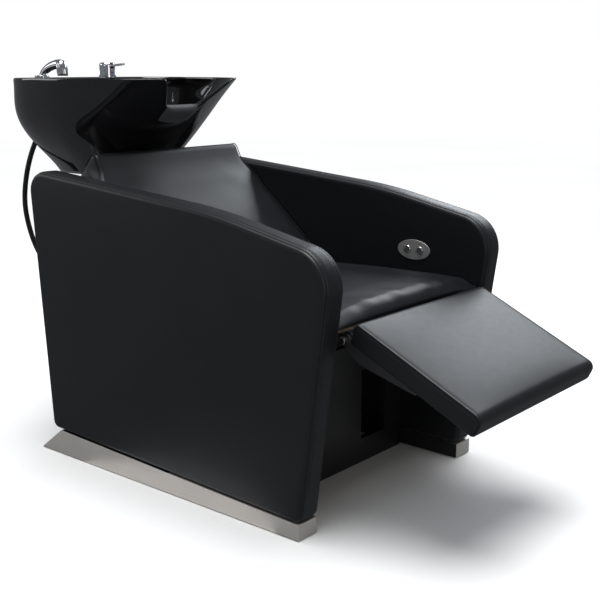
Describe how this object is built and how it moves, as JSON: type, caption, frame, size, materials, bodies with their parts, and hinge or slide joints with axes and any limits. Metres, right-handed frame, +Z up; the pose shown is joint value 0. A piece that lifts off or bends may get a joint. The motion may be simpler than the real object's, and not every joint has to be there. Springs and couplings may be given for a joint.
{
  "type": "shampoo backwash unit",
  "caption": "Hair salon backwash unit: upholstered seat between side panels, powered footrest, tilting black basin with neck rest, mixer tap and pull-out hand shower.",
  "frame": {"origin": "on the floor under the centre of the bounding box", "axes": "+Z up, -Y towards the client's feet, +X to the seated client's left"},
  "size_m": [0.68, 1.5209, 0.9924],
  "materials": {
    "leatherette": "black leatherette over foam, fine grain, satin",
    "plywood": "birch plywood, unfinished",
    "painted_board": "plywood painted black, matte",
    "plinth_steel": "brushed stainless sheet, satin",
    "frame_paint": "black powder coat, satin",
    "zinc_steel": "zinc plated, satin",
    "chrome": "polished chrome plate",
    "basin_glaze": "black glaze, high gloss",
    "gel": "black polyurethane gel, matte",
    "black_laminate": "black laminate on board, matte",
    "black_plastic": "moulded black plastic, fine texture",
    "grey_plastic": "moulded grey plastic, matte",
    "white_plastic": "white polypropylene, semi gloss",
    "hose_sleeve": "black ribbed plastic sleeve, satin",
    "foot_rubber": "black rubber, matte"
  },
  "bodies": {
    "base": {"left_outer_pad": "leatherette", "right_outer_pad": "leatherette", "left_inner_pad": "leatherette", "right_inner_pad": "leatherette", "left_border_band": "leatherette", "right_border_band": "leatherette", "seat_cushion": "leatherette", "backrest_cushion": "leatherette", "left_panel_core": "plywood", "right_panel_core": "plywood", "seat_board": "plywood", "backrest_board": "plywood", "backrest_cleats": "plywood", "left_plinth_core": "painted_board", "right_plinth_core": "painted_board", "panel_battens": "painted_board", "left_plinth_trim": "plinth_steel", "right_plinth_trim": "plinth_steel", "seat_frame": "frame_paint", "basin_crossbeam": "frame_paint", "frame_bolts": "zinc_steel", "actuator_rear_pin": "zinc_steel", "tilt_bolt": "zinc_steel", "access_cover_screws": "zinc_steel", "switch_plate": "chrome", "kick_panel": "black_laminate", "rear_panel": "black_laminate", "rear_access_cover": "black_laminate", "power_inlet": "black_plastic", "control_box": "black_plastic", "switch_housing": "black_plastic", "footrest_shaft_bushes": "black_plastic", "tilt_friction_washers": "black_plastic", "floor_glides": "foot_rubber"},
    "up_button": {"up_button": "chrome"},
    "down_button": {"down_button": "chrome"},
    "footrest": {"footrest_cushion": "leatherette", "footrest_board": "painted_board", "footrest_arms": "frame_paint", "footrest_shaft": "zinc_steel", "footrest_crank": "frame_paint"},
    "actuator": {"actuator_gearbox": "black_plastic", "actuator_motor": "black_plastic", "actuator_tube": "grey_plastic"},
    "actuator_rod": {"actuator_rod": "zinc_steel", "actuator_front_pin": "zinc_steel"},
    "basin": {"tilt_cradle": "frame_paint", "basin": "basin_glaze", "neck_rest": "gel", "mixer_body": "chrome", "deck_nuts": "chrome", "handset_guide": "chrome", "drain_flange": "chrome", "drain_nut": "black_plastic", "bottle_trap": "white_plastic", "shower_hose": "hose_sleeve"},
    "mixer_cap": {"mixer_cap": "chrome"},
    "mixer_lever": {"mixer_lever": "chrome"},
    "handset": {"handset_handle": "chrome", "handset_head": "chrome"}
  },
  "joints": [
    {"name": "footrest_hinge", "type": "hinge", "parent": "base", "child": "footrest", "pos_m": [0, -0.42, 0.42], "axis": [-1, 0, 0], "range_deg": [-45, 20]},
    {"name": "actuator_swing", "type": "hinge", "parent": "base", "child": "actuator", "pos_m": [0.15, -0.02, 0.24], "axis": [-1, 0, 0], "range_deg": [-1.3, 0.7]},
    {"name": "actuator_extension", "type": "slide", "parent": "actuator", "child": "actuator_rod", "axis": [0, -0.949, 0.3153], "range_m": [-0.0355, 0.016]},
    {"name": "up_button_press", "type": "slide", "parent": "base", "child": "up_button", "axis": [1, 0, 0], "range_m": [0, 0.0025], "stiffness_N_per_m": 1200, "springref_m": -0.0008},
    {"name": "down_button_press", "type": "slide", "parent": "base", "child": "down_button", "axis": [1, 0, 0], "range_m": [0, 0.0025], "stiffness_N_per_m": 1200, "springref_m": -0.0008},
    {"name": "basin_tilt", "type": "hinge", "parent": "base", "child": "basin", "pos_m": [0, 0.45, 0.668], "axis": [-1, 0, 0], "range_deg": [0, 15]},
    {"name": "mixer_swivel", "type": "hinge", "parent": "basin", "child": "mixer_cap", "pos_m": [0.095, 0.69, 0.958], "axis": [0, 0, 1], "range_deg": [-45, 45]},
    {"name": "mixer_lift", "type": "hinge", "parent": "mixer_cap", "child": "mixer_lever", "pos_m": [0.095, 0.69, 0.967], "axis": [-1, 0, 0], "range_deg": [0, 25]},
    {"name": "handset_pull", "type": "slide", "parent": "basin", "child": "handset", "axis": [0, 0, 1], "range_m": [0, 0.06]}
  ],
  "couplings": [
    {"joint": "actuator_swing", "follows": "footrest_hinge", "ratio": 0.025},
    {"joint": "actuator_extension", "follows": "footrest_hinge", "m_per_rad": 0.0445}
  ]
}
